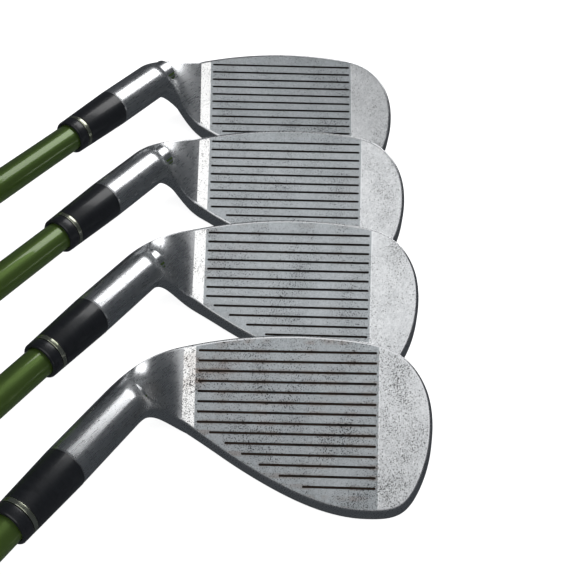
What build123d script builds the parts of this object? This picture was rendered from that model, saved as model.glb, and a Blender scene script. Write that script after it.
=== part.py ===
from build123d import *
import os
from math import cos, radians, sin
import numpy

# A set of four matched right-handed golf irons with graphite shafts, lying face up
# side by side on a floor. All lengths are in millimetres and all angles in degrees.
#
# Each club is first built in its own head frame:
#   x runs from the heel ends of the score lines towards the toe,
#   y runs up the face from the lowest point of the leading edge,
#   z runs back through the head, so the hitting face is the plane z = 0.
# It is then turned into the pose in which it lies still on the floor.

# ---------------------------------------------------------------- the four clubs
# heel_height and toe_height are measured up the face, at the blend and at the peak.
# offset is how far the front of the hosel stands ahead of the leading edge, heading is
# how far the club is turned on the floor and gap is the clear floor before its blade.
CLUBS = {
    "iron_7": {"loft": 36.5, "lie": 56.0, "length": 940.0, "offset": 5.0,
               "hosel_length": 48.5, "axis_to_lines": 9.0, "heel_height": 31.5,
               "toe_height": 48.5, "line_count": 12, "heading": 0.2, "gap": 0.0},
    "iron_8": {"loft": 39.5, "lie": 59.5, "length": 927.0, "offset": 3.5,
               "hosel_length": 50.0, "axis_to_lines": 7.7, "heel_height": 30.0,
               "toe_height": 50.0, "line_count": 13, "heading": 0.2, "gap": 8.0},
    "iron_9": {"loft": 42.5, "lie": 61.8, "length": 914.0, "offset": 1.5,
               "hosel_length": 52.5, "axis_to_lines": 6.8, "heel_height": 28.5,
               "toe_height": 51.0, "line_count": 13, "heading": 0.9, "gap": 7.3},
    "wedge": {"loft": 45.5, "lie": 64.5, "length": 908.0, "offset": 0.8,
              "hosel_length": 55.5, "axis_to_lines": 6.3, "heel_height": 27.5,
              "toe_height": 52.5, "line_count": 14, "heading": 2.1, "gap": 11.0},
}

# ---------------------------------------------------------------- blade
BLADE_LENGTH = 70.3          # heel ends of the score lines to the toe
SOLE_WIDTH = 21.0
BOUNCE = 4.0
TOPLINE_WIDTH = 6.5
SOLE_RADIUS = 150.0          # rocker of the leading edge from heel to toe
SOLE_LOW_X = 29.0            # where the leading edge touches the ground
PEAK_X = 51.0                # highest point of the topline
HEEL_BAND = 4.5              # flat band between the score lines and the neck
TOPLINE_RISE = 0.72          # slope of the topline where it leaves the heel
TOPLINE_MIDDLE = (0.46, 0.64)     # a point of the topline, as shares from heel to peak
# Points round the toe, as shares of the way from the peak to the furthest reach and of
# the toe height: over the top of the toe first, then down to the sole.
UPPER_TOE = ((0.0, 1.0), (0.53, 0.965), (0.81, 0.83), (1.0, 0.525))
LOWER_TOE = ((0.895, 0.28), (0.49, 0.095))
TOE_FOOT = 2.0               # the sole's arc ends this far heelward of the peak

# ---------------------------------------------------------------- score lines
LINE_LENGTH = 53.8
LINE_PITCH = 3.06
LINE_WIDTH = 0.85
LINE_DEPTH = 0.4
FIRST_LINE_HEIGHT = 5.4      # above the lowest point of the leading edge
LINE_TO_TOPLINE = 3.4        # least gap kept below the topline

# ---------------------------------------------------------------- cavity and badge
FACE_THICKNESS = 4.0
RIM_WIDTH = 7.5
MUSCLE_HEIGHT = 12.0
MUSCLE_SLOPE = 3.0           # how far the back of the sole leans in over its height
WAIST_EXTRA = 0.8            # the rim is this much thicker at the waist than at the topline
CAVITY_FLOOR = 20.5          # how far up the face the cavity starts
CAVITY_CORNER = 2.5
BADGE_THICKNESS = 0.9
BADGE_CLEARANCE = 1.2
CAVITY_SIDE_LEAN = 0.2       # how far the toe side of the cavity leans in at its floor

# ---------------------------------------------------------------- hosel and shaft
HOSEL_DIAMETER = 13.4
BORE_DEPTH = 32.0
TIP_DIAMETER = 9.6
GLUE_GAP = 0.04
TIP_PARALLEL = 76.0          # untapered length at the tip
BUTT_DIAMETER = 15.2
TIP_WALL = 1.5
BUTT_WALL = 1.1
RIM_CHAMFER = 0.6
NECK_SHARE = 0.45            # share of the hosel's length that the neck blends over
NECK_FORWARD = 0.35          # how far the neck turns towards the target as it leaves
NECK_SOLE_SHARE = 0.8        # share of the sole's width that the neck starts from
NECK_STEPS = 3

# ---------------------------------------------------------------- ferrule
FERRULE_BODY_LENGTH = 18.5
FERRULE_RING_LENGTH = 1.5
FERRULE_COLLAR_LENGTH = 3.8
FERRULE_TOP_DIAMETER = 12.0
FERRULE_ROUNDING = 0.7

# ---------------------------------------------------------------- grip
GRIP_LENGTH = 266.0
GRIP_BUTT_DIAMETER = 27.0
GRIP_MOUTH_WALL = 1.6
TAPE_THICKNESS = 0.3
TAPE_SHORTER = 8.0           # the tape stops this far inside the mouth of the grip
CAP_THICKNESS = 3.5
CAP_LIP = 0.6                # how far the cap stands out past the grip
CAP_ROUNDING = 1.4
VENT_DIAMETER = 3.0

# ---------------------------------------------------------------- the row on the floor
GRIP_CLEARANCE = 0.3         # between neighbouring grip caps at the butt ends
FIRST_TILT, LAST_TILT = 0.05, 1e-7        # steps of the search for the resting pose
STEEL, GRAPHITE, RUBBER = 7.8, 1.5, 1.1    # relative densities, for the balance point

HOSEL_RADIUS = HOSEL_DIAMETER / 2
TIP_RADIUS = TIP_DIAMETER / 2
SHAFT_SPACING = GRIP_BUTT_DIAMETER + 2 * CAP_LIP + GRIP_CLEARANCE


# ================================================================ directions
def address_directions(club):
    """Up and back for a club held at address, and the direction its shaft rises in."""
    loft, lie = radians(club["loft"]), radians(club["lie"])
    up = Vector(0, cos(loft), -sin(loft))
    back = Vector(0, sin(loft), cos(loft))
    shaft = Vector(-cos(lie), 0, 0) + up * sin(lie)
    return up, back, shaft


def sole_direction(club):
    """The way the sole runs back from the leading edge, lowered by the bounce."""
    angle = radians(club["loft"] - BOUNCE)
    return Vector(0, sin(angle), cos(angle))


def ground_point(club):
    """Where the shaft axis meets the ground that the sole stands on."""
    back = address_directions(club)[1]
    return Vector(-club["axis_to_lines"], 0, 0) + back * (HOSEL_RADIUS - club["offset"])


def on_axis(club, shape):
    """Put a piece that was built up the Z axis from the ground onto the shaft axis."""
    shaft = address_directions(club)[2]
    return Plane(origin=ground_point(club), x_dir=(0, 0, 1), z_dir=shaft) * shape


def turned(profile):
    """A round piece from its half section, given as (radius, height) corners."""
    outline = Polyline([(r, 0, h) for r, h in profile], close=True)
    return revolve(make_face(outline), Axis.Z)


# ================================================================ blade
def sole_height(x):
    return (x - SOLE_LOW_X) ** 2 / (2 * SOLE_RADIUS)


def topline_points(club, inset=0.0):
    """Heel, middle and peak of the topline, lowered by the inset."""
    heel = Vector(-HEEL_BAND + inset, club["heel_height"] - inset / 2)
    peak = Vector(PEAK_X, club["toe_height"] - inset)
    middle = Vector(heel.X + TOPLINE_MIDDLE[0] * (peak.X - heel.X),
                    heel.Y + TOPLINE_MIDDLE[1] * (peak.Y - heel.Y))
    return heel, middle, peak


def topline(club, inset=0.0):
    heel, middle, peak = topline_points(club, inset)
    return Spline([heel, middle, peak], tangents=[(1, TOPLINE_RISE), (1, 0)])


def toe_points(club, inset=0.0):
    """Points round the upper toe, from the peak of the topline to the furthest reach."""
    nose = BLADE_LENGTH - inset - PEAK_X
    high = club["toe_height"] - inset
    return [(PEAK_X + across * nose, up * high) for across, up in UPPER_TOE]


def toe(club):
    """The rounded toe, from the peak of the topline down to the sole."""
    nose = BLADE_LENGTH - PEAK_X
    foot = PEAK_X - TOE_FOOT
    slope = (foot - SOLE_LOW_X) / SOLE_RADIUS
    lower = [(PEAK_X + across * nose, up * club["toe_height"]) for across, up in LOWER_TOE]
    points = toe_points(club) + lower + [(foot, sole_height(foot))]
    return Spline(points, tangents=[(1, 0), (-1, -slope)])


def face_outline(club):
    """The flat hitting face, seen square on."""
    top = topline(club)
    end = toe(club)
    heel_foot = (-HEEL_BAND, sole_height(-HEEL_BAND))
    sole = ThreePointArc(end @ 1, (SOLE_LOW_X, 0), heel_foot)
    heel = Line(heel_foot, top @ 0)
    return make_face([top, end, sole, heel])


def back_profile(club):
    """Side view of the blade: thin behind the face, thick along the sole."""
    sole = sole_direction(club)
    edge = sole * SOLE_WIDTH
    thin = TOPLINE_WIDTH * sole.Z
    beyond = club["toe_height"] + 2 * SOLE_WIDTH
    shoulder = (edge.Y + MUSCLE_HEIGHT, edge.Z - MUSCLE_SLOPE)
    waist = (edge.Y + MUSCLE_HEIGHT + (shoulder[1] - thin), thin + WAIST_EXTRA)
    corners = [
        (-SOLE_WIDTH, -SOLE_WIDTH), (beyond, -SOLE_WIDTH), (beyond, thin), waist,
        shoulder, (edge.Y, edge.Z), (edge.Y - SOLE_WIDTH, edge.Z + SOLE_WIDTH / 4),
    ]
    outline = Polyline([(0, y, z) for y, z in corners], close=True)
    across = BLADE_LENGTH + 4 * HEEL_BAND
    return extrude(make_face(outline).moved(Location((-2 * HEEL_BAND, 0, 0))),
                   amount=across, dir=(1, 0, 0))


def cavity_outline(club, inset):
    """The hollow in the back, inside the rim, shifted up as the head leans."""
    sole = sole_direction(club)
    lift = TOPLINE_WIDTH * sole.Y
    floor = CAVITY_FLOOR - lift + inset - RIM_WIDTH
    top = topline(club, inset)
    side = Spline(toe_points(club, inset)[:3] + [(BLADE_LENGTH - inset - 1, floor)],
                  tangents=[(1, 0), (-CAVITY_SIDE_LEAN, -1)])
    bottom = Line(side @ 1, (topline_points(club, inset)[0].X, floor))
    heel = Line(bottom @ 1, top @ 0)
    outline = make_face([top, side, bottom, heel])
    low_corners = outline.vertices().group_by(Axis.Y)[0]
    return fillet(low_corners, CAVITY_CORNER).moved(Location((0, lift, 0)))


def score_lines(club):
    """The lines cut in the face. The upper ones start further from the heel."""
    edge = topline(club)
    cuts = []
    for index in range(club["line_count"]):
        height = FIRST_LINE_HEIGHT + index * LINE_PITCH
        start = 0.0
        while start < LINE_LENGTH and topline_height(club, edge, start) < height + LINE_TO_TOPLINE:
            start += LINE_WIDTH
        length = LINE_LENGTH - start
        slot = Location((start + length / 2, height, 0)) * SlotOverall(length, LINE_WIDTH)
        cuts.append(extrude(slot, amount=LINE_DEPTH, dir=(0, 0, 1)))
    return cuts


def topline_height(club, edge, x):
    """Height of the topline above the face at x, found by halving along its curve."""
    low, high = 0.0, 1.0
    for _ in range(24):
        middle = (low + high) / 2
        if (edge @ middle).X < x:
            low = middle
        else:
            high = middle
    return (edge @ low).Y


def blade(club):
    run = sole_direction(club) * (2 * SOLE_WIDTH)
    prism = extrude(face_outline(club), amount=run.length, dir=run)
    body = prism & back_profile(club)
    pocket = extrude(cavity_outline(club, RIM_WIDTH), amount=SOLE_WIDTH, dir=(0, 0, 1))
    return body - pocket.moved(Location((0, 0, FACE_THICKNESS)))


# ================================================================ neck and hosel
def hosel_ring_point(club, along, angle):
    """A point on the hosel; angle 0 faces the toe and 90 faces the target."""
    up, back, shaft = address_directions(club)
    lie = radians(club["lie"])
    toeward = Vector(sin(lie), 0, 0) + up * cos(lie)
    turn = radians(angle)
    centre = ground_point(club) + shaft * along
    return centre + (toeward * cos(turn) - back * sin(turn)) * HOSEL_RADIUS


def neck(club, along):
    """The blend from the heel end of the blade to the round hosel."""
    shaft = address_directions(club)[2]
    sole = sole_direction(club)
    foot = Vector(-HEEL_BAND, sole_height(-HEEL_BAND), 0)
    top = Vector(-HEEL_BAND, club["heel_height"], 0)
    thin = sole * TOPLINE_WIDTH
    corners = [foot, top, top + thin, foot + sole * SOLE_WIDTH * NECK_SOLE_SHARE]
    starts = []
    for here, after in zip(corners, corners[1:] + corners[:1]):
        starts += [here, (here + after) / 2]
    angles = [135, 90, 45, 0, -45, -90, -135, -180]
    ends = [hosel_ring_point(club, along, angle) for angle in angles]
    leave = Vector(-1, 0, -NECK_FORWARD)
    wires = []
    for step in range(NECK_STEPS + 1):
        t = step / NECK_STEPS
        ring = []
        for start, end in zip(starts, ends):
            reach = (end - start).length
            ring.append(
                start * (2 * t**3 - 3 * t**2 + 1) + leave * reach * (t**3 - 2 * t**2 + t)
                + end * (3 * t**2 - 2 * t**3) + shaft * reach * (t**3 - t**2))
        edges = []
        for side in range(0, 8, 2):
            first, middle, last = ring[side], ring[side + 1], ring[(side + 2) % 8]
            if step == 0:
                edges.append(Edge.make_line(first, last))
            else:
                edges.append(Edge.make_three_point_arc(first, middle, last))
        wires.append(Wire(edges))
    return Solid.make_loft(wires, ruled=False)


def head(club):
    """Blade, neck and hosel are one casting, bored for the shaft."""
    blend_end = NECK_SHARE * club["hosel_length"]
    length = club["hosel_length"]
    hosel = on_axis(club, turned([
        (0, blend_end), (HOSEL_RADIUS, blend_end), (HOSEL_RADIUS, length - RIM_CHAMFER),
        (HOSEL_RADIUS - RIM_CHAMFER, length), (0, length)]))
    bore_radius = TIP_RADIUS + GLUE_GAP
    bore = on_axis(club, turned([
        (0, length - BORE_DEPTH), (bore_radius, length - BORE_DEPTH),
        (bore_radius, length + 1), (0, length + 1)]))
    casting = blade(club) + neck(club, blend_end) + hosel
    casting = casting - bore
    for cut in score_lines(club):
        casting = casting - cut
    return casting


def cavity_badge(club):
    """A thin plate bonded to the floor of the cavity."""
    plate = extrude(cavity_outline(club, RIM_WIDTH + BADGE_CLEARANCE),
                    amount=BADGE_THICKNESS, dir=(0, 0, 1))
    return plate.moved(Location((0, 0, FACE_THICKNESS)))


# ================================================================ shaft and what is on it
def tip_height(club):
    return club["hosel_length"] - BORE_DEPTH


def butt_height(club):
    return club["length"] - CAP_THICKNESS


def shaft_radius(club, height):
    """Outside radius of the shaft at a height up the axis from the ground."""
    start = tip_height(club) + TIP_PARALLEL
    share = max(0.0, (height - start) / (butt_height(club) - start))
    return TIP_RADIUS + share * (BUTT_DIAMETER / 2 - TIP_RADIUS)


def shaft_tube(club):
    tip, butt = tip_height(club), butt_height(club)
    straight = tip + TIP_PARALLEL
    inside = TIP_RADIUS - TIP_WALL
    return turned([
        (inside, tip), (TIP_RADIUS, tip), (TIP_RADIUS, straight), (BUTT_DIAMETER / 2, butt),
        (BUTT_DIAMETER / 2 - BUTT_WALL, butt), (inside, straight)])


def ferrule_radius(share):
    """The ferrule tapers from the hosel to its top; share is 0 to 1 of its height."""
    return HOSEL_RADIUS + share * (FERRULE_TOP_DIAMETER / 2 - HOSEL_RADIUS)


def ferrule_parts(club):
    """Black sleeve, bright trim ring and black collar, stacked on the hosel rim."""
    lengths = {"ferrule": FERRULE_BODY_LENGTH, "ferrule_ring": FERRULE_RING_LENGTH,
               "ferrule_collar": FERRULE_COLLAR_LENGTH}
    total = sum(lengths.values())
    base = club["hosel_length"]
    pieces = {}
    height = 0.0
    for name, length in lengths.items():
        low, high = ferrule_radius(height / total), ferrule_radius((height + length) / total)
        bottom, top = base + height, base + height + length
        corners = [(TIP_RADIUS, bottom), (low, bottom), (high, top), (TIP_RADIUS, top)]
        if name == "ferrule_collar":
            corners[2:3] = [(high, top - FERRULE_ROUNDING), (high - FERRULE_ROUNDING, top)]
        pieces[name] = turned(corners)
        height += length
    return pieces


def grip_parts(club):
    """Tape on the shaft, the rubber sleeve over it and the cap that closes the end."""
    butt = butt_height(club)
    mouth = butt - GRIP_LENGTH + CAP_THICKNESS
    tape_start = mouth + TAPE_SHORTER
    skin = [(shaft_radius(club, h), h) for h in (mouth, tape_start, butt)]
    taped = [(radius + TAPE_THICKNESS, h) for radius, h in skin]
    tape = turned([skin[1], taped[1], taped[2], skin[2]])
    outer_mouth = skin[0][0] + GRIP_MOUTH_WALL
    sleeve = turned([
        skin[0], (outer_mouth, mouth), (GRIP_BUTT_DIAMETER / 2, butt), taped[2], taped[1],
        skin[1]])
    cap_radius = GRIP_BUTT_DIAMETER / 2 + CAP_LIP
    cap = turned([
        (VENT_DIAMETER / 2, butt), (cap_radius, butt),
        (cap_radius, butt + CAP_THICKNESS - CAP_ROUNDING),
        (cap_radius - CAP_ROUNDING, butt + CAP_THICKNESS),
        (VENT_DIAMETER / 2, butt + CAP_THICKNESS)])
    return {"grip_tape": tape, "grip": sleeve, "grip_cap": cap}


def club_parts(club):
    pieces = {"head": head(club), "badge": cavity_badge(club)}
    round_pieces = {"shaft": shaft_tube(club), **ferrule_parts(club), **grip_parts(club)}
    for name, piece in round_pieces.items():
        pieces[name] = on_axis(club, piece)
    return pieces


# ================================================================ lying on the floor
def surface_points(shape, fineness=0.05):
    return shape.tessellate(fineness)[0]


def balance_point(pieces):
    weights = {"head": STEEL, "shaft": GRAPHITE, "grip": RUBBER}
    total = sum(pieces[name].volume * weight for name, weight in weights.items())
    moment = Vector(0, 0, 0)
    for name, weight in weights.items():
        moment += pieces[name].center(CenterOf.MASS) * (pieces[name].volume * weight / total)
    return moment


def resting_up(club, pieces):
    """The direction that points up when the club lies still, face up, on a flat floor.

    A club comes to rest where its balance point is as low as it can get, so the search
    tips the club in ever smaller steps for as long as that lowers the balance point.
    """
    touching = numpy.array([
        tuple(point) for name in ("head", "grip_cap") for point in surface_points(pieces[name])])
    reach = numpy.array(tuple(balance_point(pieces))) - touching
    shaft = address_directions(club)[2]
    up = Vector(0, -0.5, -0.85)
    up = (up - shaft * up.dot(shaft)).normalized()

    def height(direction):
        return (reach @ numpy.array(tuple(direction))).max()

    best = height(up)
    step = FIRST_TILT
    while step > LAST_TILT:
        side = shaft.cross(up)
        moves = [side, shaft, side + shaft, side - shaft]
        tries = [(up + move * sign * step).normalized() for move in moves for sign in (1, -1)]
        heights = [height(direction) for direction in tries]
        lowest = min(heights)
        if lowest < best:
            best = lowest
            up = tries[heights.index(lowest)]
        else:
            step /= 2
    return up


class Laid:
    """A club turned onto the floor z = 0: shaft along X, head towards +X, face up.

    Its shaft axis starts above the point x = y = 0.
    """

    def __init__(self, club, pieces):
        up = resting_up(club, pieces)
        shaft = address_directions(club)[2]
        headward = (up * shaft.dot(up) - shaft).normalized()
        self.floor = Plane(origin=ground_point(club), x_dir=headward, z_dir=up)
        self.turn = Location((0, 0, 0), (0, 0, club["heading"]))
        low = min(self.place(point).Z for name in ("head", "grip_cap")
                  for point in surface_points(pieces[name]))
        self.turn = Location((0, 0, -low), (0, 0, club["heading"]))
        self.pieces = {name: self.place(piece) for name, piece in pieces.items()}
        self.blade_points = [self.place(point) for point in surface_points(blade(club))]
        across = self.place(Vector(1, 0, 0)) - self.place(Vector(0, 0, 0))
        self.face_up = Vector(across.Y, -across.X, 0).normalized()

    def place(self, thing):
        local = self.floor.to_local_coords(thing)
        if isinstance(local, Vector):
            return (self.turn * Location(local)).position
        return local.moved(self.turn)


def row_offsets(row, gaps):
    """Where each club goes, so that its blade lies a small gap beyond the last one."""
    offsets = [Vector(0, 0, 0)]
    for last, club, gap in zip(row, row[1:], gaps[1:]):
        aim = club.face_up
        far = max((point + offsets[-1]).dot(aim) for point in last.blade_points)
        near = min(point.dot(aim) for point in club.blade_points)
        aside = offsets[-1].Y - SHAFT_SPACING
        along = (far + gap - near - aside * aim.Y) / aim.X
        offsets.append(Vector(along, aside, 0))
    return offsets


row = [Laid(club, club_parts(club)) for club in CLUBS.values()]
offsets = row_offsets(row, [club["gap"] for club in CLUBS.values()])
parts = {}
for name, club, offset in zip(CLUBS, row, offsets):
    for piece, shape in club.pieces.items():
        parts[name + "_" + piece] = shape.moved(Location(offset))

# The origin is the middle of the row's bounding box, on the floor.
points = [point for shape in parts.values() for point in surface_points(shape)]
middle_x = (min(p.X for p in points) + max(p.X for p in points)) / 2
middle_y = (min(p.Y for p in points) + max(p.Y for p in points)) / 2
home = Location((-middle_x, -middle_y, 0))
os.makedirs("parts", exist_ok=True)
for node, shape in parts.items():
    export_step(shape.moved(home), "parts/" + node + ".step")
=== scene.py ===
# %% [markdown]
# # Four golf irons, finished around their CAD frame
# The CAD model already says where every club lies and how big it is. This script loads it
# as a fixed frame and gives each part its real look: heads cast in steel and ground by
# hand, black plastic ferrules, painted graphite shafts and rubber grips.

# %% Load the frame
from math import cos, pi, radians, sin
import bmesh
import bpy
import numpy as np
from mathutils import Matrix, Vector


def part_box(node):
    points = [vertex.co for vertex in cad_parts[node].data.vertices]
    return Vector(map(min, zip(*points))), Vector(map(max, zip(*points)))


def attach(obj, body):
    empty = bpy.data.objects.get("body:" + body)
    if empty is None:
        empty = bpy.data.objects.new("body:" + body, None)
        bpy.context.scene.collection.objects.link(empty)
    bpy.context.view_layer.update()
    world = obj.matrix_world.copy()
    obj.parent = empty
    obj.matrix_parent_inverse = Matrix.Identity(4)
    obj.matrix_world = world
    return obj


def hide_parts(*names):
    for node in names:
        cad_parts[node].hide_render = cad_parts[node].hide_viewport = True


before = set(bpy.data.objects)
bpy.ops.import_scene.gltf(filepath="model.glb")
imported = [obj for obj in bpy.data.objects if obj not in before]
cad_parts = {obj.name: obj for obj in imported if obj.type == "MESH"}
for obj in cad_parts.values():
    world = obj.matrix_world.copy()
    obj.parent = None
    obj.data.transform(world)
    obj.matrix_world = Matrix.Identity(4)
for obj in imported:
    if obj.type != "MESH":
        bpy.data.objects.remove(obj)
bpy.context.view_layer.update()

# %% [markdown]
# ## The sizes that the four heads don't share
# A set of irons is one design drawn out step by step: from club to club the face leans
# further back, the hosel gets longer and the toe grows taller. Everything here is in
# millimetres and degrees, and each finished piece is scaled to metres at the end.

# %% The four clubs
CLUBS = {
    "iron_7": {"loft": 36.5, "lie": 56.0, "offset": 5.0, "hosel_length": 48.5,
               "axis_to_lines": 9.0, "heel_height": 31.5, "toe_height": 48.5,
               "line_count": 12, "rust": 0.10},
    "iron_8": {"loft": 39.5, "lie": 59.5, "offset": 3.5, "hosel_length": 50.0,
               "axis_to_lines": 7.7, "heel_height": 30.0, "toe_height": 50.0,
               "line_count": 13, "rust": 0.15},
    "iron_9": {"loft": 42.5, "lie": 61.8, "offset": 1.5, "hosel_length": 52.5,
               "axis_to_lines": 6.8, "heel_height": 28.5, "toe_height": 51.0,
               "line_count": 13, "rust": 0.30},
    "wedge": {"loft": 45.5, "lie": 64.5, "offset": 0.8, "hosel_length": 55.5,
              "axis_to_lines": 6.3, "heel_height": 27.5, "toe_height": 52.5,
              "line_count": 14, "rust": 1.0},
}
MM = 0.001
print(len(CLUBS), "clubs")

# %% [markdown]
# The sizes below are the same for all four heads. Places along the blade are measured from
# the heel ends of the score lines, and heights from the lowest point of the sole. The toe's
# points are shares of the way from the peak to the tip and of the toe's height, so the toe
# keeps its shape when the blade gets longer or taller.

# %% Sizes that every head shares
BLADE_LENGTH = 70.3
HEEL_BAND = 4.5                 # polished steel between the lines and the neck
PEAK_X = 51.0                   # where the topline is highest
TOPLINE_WIDTH = 6.5
TOPLINE_RISE = 0.72             # slope of the topline where it leaves the heel
TOPLINE_MIDDLE = (0.46, 0.64)   # share of the way along and up, halfway to the peak
UPPER_TOE = ((0.0, 1.0), (0.53, 0.965), (0.81, 0.83), (1.0, 0.525))
LOWER_TOE = ((0.895, 0.28), (0.49, 0.095))
TOE_FOOT = 2.0                  # the toe's curve ends this far before the peak
SOLE_WIDTH = 21.0
SOLE_RADIUS = 150.0
SOLE_LOW_X = 29.0
BOUNCE = 4.0                    # how far the sole turns down behind its front edge, degrees
FACE_THICKNESS = 4.0
MUSCLE_HEIGHT = 12.0
MUSCLE_SLOPE = 3.0
WAIST_EXTRA = 0.8
WALL_UPRIGHT = 0.55             # how much more upright the wall stands at the topline
RIM_WIDTH = 7.5
CAVITY_FLOOR = 20.5
CAVITY_SIDE_LEAN = 0.2
CAVITY_CORNER = 1.0
BADGE_THICKNESS = 0.9
BADGE_CLEARANCE = 1.2
HOSEL_RADIUS = 6.7
BORE_RADIUS = 4.84
BORE_DEPTH = 32.0
RIM_CHAMFER = 0.6
NECK_SHARE = 0.54               # share of the hosel's length where the neck has become round
NECK_FORWARD = 0.35             # how far the neck turns towards the face as it leaves
NECK_FALL = 0.60                # slope at which the top of the neck leaves the blade
print("blade", BLADE_LENGTH, "mm long, hosel", 2 * HOSEL_RADIUS, "mm across")

# %% [markdown]
# Score lines are alike on every head, apart from how many fit. The ferrule is a stack of
# three short pieces, listed in order from the hosel up.

# %% Sizes of the score lines and the ferrule
LINE_LENGTH = 53.8
LINE_PITCH = 3.06
LINE_WIDTH = 0.74
LINE_DEPTH = 0.4
FIRST_LINE_HEIGHT = 5.4
LINE_TO_TOPLINE = 3.4
FERRULE_LENGTHS = {"ferrule": 18.5, "ferrule_ring": 1.5, "ferrule_collar": 3.8}
FERRULE_TOP_RADIUS = 6.0
TIP_RADIUS = 4.8
print("score lines", LINE_PITCH, "mm apart")

# %% [markdown]
# ## Where each club lies
# A head is easiest to model square to its own face, so every club gets its own frame: x
# along the score lines towards the toe, y up the face and z back through the head. Two
# round parts give the line of the shaft, and the flat badge gives the way the face looks.
# The loft and lie angles then fix the rest.


# %% Find a club's own frame
def middle(node):
    """The middle of a CAD node's box, in metres."""
    low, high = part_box(node)
    return (low + high) / 2


def address_directions(club):
    """Up and back for a club held at address, and the way its shaft rises."""
    loft, lie = radians(club["loft"]), radians(club["lie"])
    up = Vector((0, cos(loft), -sin(loft)))
    back = Vector((0, sin(loft), cos(loft)))
    shaft = Vector((-cos(lie), 0, 0)) + up * sin(lie)
    return up, back, shaft


def ground_point(club):
    """Where the shaft axis meets the ground that the sole stands on."""
    back = address_directions(club)[1]
    return Vector((-club["axis_to_lines"], 0, 0)) + back * (HOSEL_RADIUS - club["offset"])


def columns(x, y, z, origin, scale):
    """The matrix whose columns are three scaled directions and an origin."""
    matrix = Matrix.Identity(4)
    for index, column in enumerate((x * scale, y * scale, z * scale, origin)):
        for row in range(3):
            matrix[row][index] = column[row]
    return matrix


def ring_height(club):
    """Height of the middle of the trim ring, along the shaft from the ground."""
    return club["hosel_length"] + FERRULE_LENGTHS["ferrule"] + FERRULE_LENGTHS["ferrule_ring"] / 2


def club_frames(name, club):
    """Matrices from the head's frame and from the shaft's to the row."""
    ring = middle(name + "_ferrule_ring")
    along = (middle(name + "_grip_cap") - ring).normalized()
    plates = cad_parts[name + "_badge"].data.polygons
    normal = max(plates, key=lambda plate: plate.area).normal.normalized()
    z = normal if normal.z < 0 else -normal
    flat = (along - z * along.dot(z)).normalized()
    shaft = address_directions(club)[2]
    across, rise = Vector((shaft.x, shaft.y)).normalized()
    side = z.cross(flat)
    x = flat * across - side * rise
    y = flat * rise + side * across
    ground = ring - along * ring_height(club) * MM
    foot = ground_point(club)
    origin = ground - (x * foot.x + y * foot.y + z * foot.z) * MM
    head = columns(x, y, z, origin, MM)
    level = z.cross(along).normalized()
    stem = columns(level, along.cross(level), along, ground, MM)
    return head, stem


frames = {name: club_frames(name, club) for name, club in CLUBS.items()}
for name, (head, stem) in frames.items():
    print(name, "face looks along", -head.col[2].xyz.normalized())

# %% [markdown]
# ## Arithmetic for finishes
# Metal, paint and rubber get their life from numbers that vary over the surface. A small
# class wraps the socket that carries such a number, so that a finish can be written as
# ordinary arithmetic instead of a tangle of Math nodes.


# %% A number that varies over a surface
class Value:
    """A socket that Python's own operators work on, each adding a Math node."""

    def __init__(self, finish, socket):
        self.finish = finish
        self.socket = socket

    def math(self, operation, first, second=0.0):
        return self.finish.node("ShaderNodeMath", {"operation": operation}, first, second)

    def __add__(self, other):
        return self.math("ADD", self, other)

    __radd__ = __add__

    def __sub__(self, other):
        return self.math("SUBTRACT", self, other)

    def __rsub__(self, other):
        return self.math("SUBTRACT", other, self)

    def __mul__(self, other):
        return self.math("MULTIPLY", self, other)

    __rmul__ = __mul__

    def __truediv__(self, other):
        return self.math("DIVIDE", self, other)

    def __abs__(self):
        return self.math("ABSOLUTE", self)

    def fraction(self):
        return self.math("FRACT", self)

    def above(self, edge, softness):
        """0 below the edge and 1 above it, turning over the softness."""
        settings = {"interpolation_type": "SMOOTHSTEP"}
        return self.finish.node("ShaderNodeMapRange", settings, self, edge - softness / 2,
                                edge + softness / 2, 0.0, 1.0)

    def below(self, edge, softness):
        """1 below the edge and 0 above it."""
        return 1 - self.above(edge, softness)


print("a number can now be added, scaled and compared")

# %% [markdown]
# A finish holds one material. Its method `node` makes every other kind of node, and `noise`,
# `stretched` and `mix` are short ways to the three that are used most. What is the same all
# over a surface is set straight on the shader, and only what varies is linked to it.


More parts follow.
